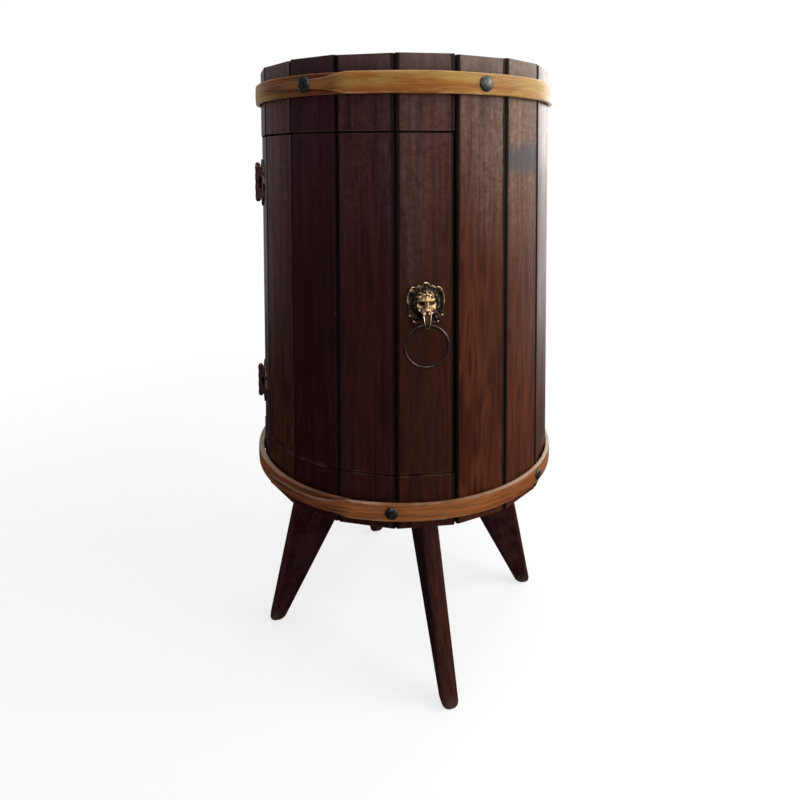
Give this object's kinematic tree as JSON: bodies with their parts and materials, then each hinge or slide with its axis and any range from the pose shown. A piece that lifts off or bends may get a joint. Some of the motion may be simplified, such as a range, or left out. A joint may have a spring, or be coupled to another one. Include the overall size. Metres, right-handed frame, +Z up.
{
  "type": "barrel bar cabinet",
  "caption": "Cask-shaped bar cabinet of tapered wooden staves with bent wooden hoops, a hinged stave door with a lion ring pull, and splayed board legs.",
  "frame": {"origin": "on the floor, on the barrel's axis, in the middle of the four feet", "axes": "+Z up; -Y towards the viewer, 7 degrees beside the stave that carries the pull; +X to the right of the door"},
  "size_m": [0.4849, 0.4854, 0.9005],
  "materials": {
    "stave_wood": "dark mahogany stain, satin varnish",
    "inner_wood": "brown stain, matt",
    "hoop_wood": "golden varnish, satin",
    "leg_wood": "dark wine-brown stain, satin",
    "aged_brass": "antiqued cast, dark in the recesses",
    "copper_bronze": "antiqued copper, satin",
    "steel": "plain",
    "catch_plastic": "brown, matt"
  },
  "bodies": {
    "cabinet": {"stave_01": "stave_wood", "stave_02": "stave_wood", "stave_03": "stave_wood", "stave_04": "stave_wood", "stave_05": "stave_wood", "stave_06": "stave_wood", "stave_07": "stave_wood", "stave_08": "stave_wood", "stave_09": "stave_wood", "stave_10": "stave_wood", "stave_11": "stave_wood", "stave_12": "stave_wood", "stave_13": "stave_wood", "header_stave_1": "stave_wood", "header_stave_2": "stave_wood", "header_stave_3": "stave_wood", "header_stave_4": "stave_wood", "header_stave_5": "stave_wood", "sill_stave_1": "stave_wood", "sill_stave_2": "stave_wood", "sill_stave_3": "stave_wood", "sill_stave_4": "stave_wood", "sill_stave_5": "stave_wood", "top_hoop": "hoop_wood", "bottom_hoop": "hoop_wood", "top_board": "stave_wood", "floor_board": "inner_wood", "shelf": "inner_wood", "shelf_ledge": "inner_wood", "header_rail": "inner_wood", "sill_rail": "inner_wood", "upper_hinge_frame_leaf": "copper_bronze", "upper_hinge_pin": "copper_bronze", "lower_hinge_frame_leaf": "copper_bronze", "lower_hinge_pin": "copper_bronze", "catch_case": "catch_plastic", "front_leg": "leg_wood", "right_leg": "leg_wood", "back_leg": "leg_wood", "left_leg": "leg_wood", "front_leg_screw_1": "steel", "front_leg_screw_2": "steel", "right_leg_screw_1": "steel", "right_leg_screw_2": "steel", "back_leg_screw_1": "steel", "back_leg_screw_2": "steel", "left_leg_screw_1": "steel", "left_leg_screw_2": "steel"},
    "door": {"door_stave_1": "stave_wood", "door_stave_2": "stave_wood", "door_stave_3": "stave_wood", "door_stave_4": "stave_wood", "door_stave_5": "stave_wood", "door_batten_upper": "inner_wood", "door_batten_lower": "inner_wood", "upper_hinge_door_leaf": "copper_bronze", "lower_hinge_door_leaf": "copper_bronze", "lion_plate": "aged_brass", "catch_plate": "steel"},
    "ring": {"pull_ring": "copper_bronze"}
  },
  "joints": [
    {"name": "door_hinge", "type": "hinge", "parent": "cabinet", "child": "door", "pos_m": [-0.22146, -0.0268, 0.60472], "axis": [-0.0592, -0.0072, -0.9982], "range_deg": [0, 160]},
    {"name": "ring_swing", "type": "hinge", "parent": "door", "child": "ring", "pos_m": [0.02704, -0.22342, 0.59499], "axis": [-0.9928, -0.1201, 0], "range_deg": [-5, 120]}
  ]
}
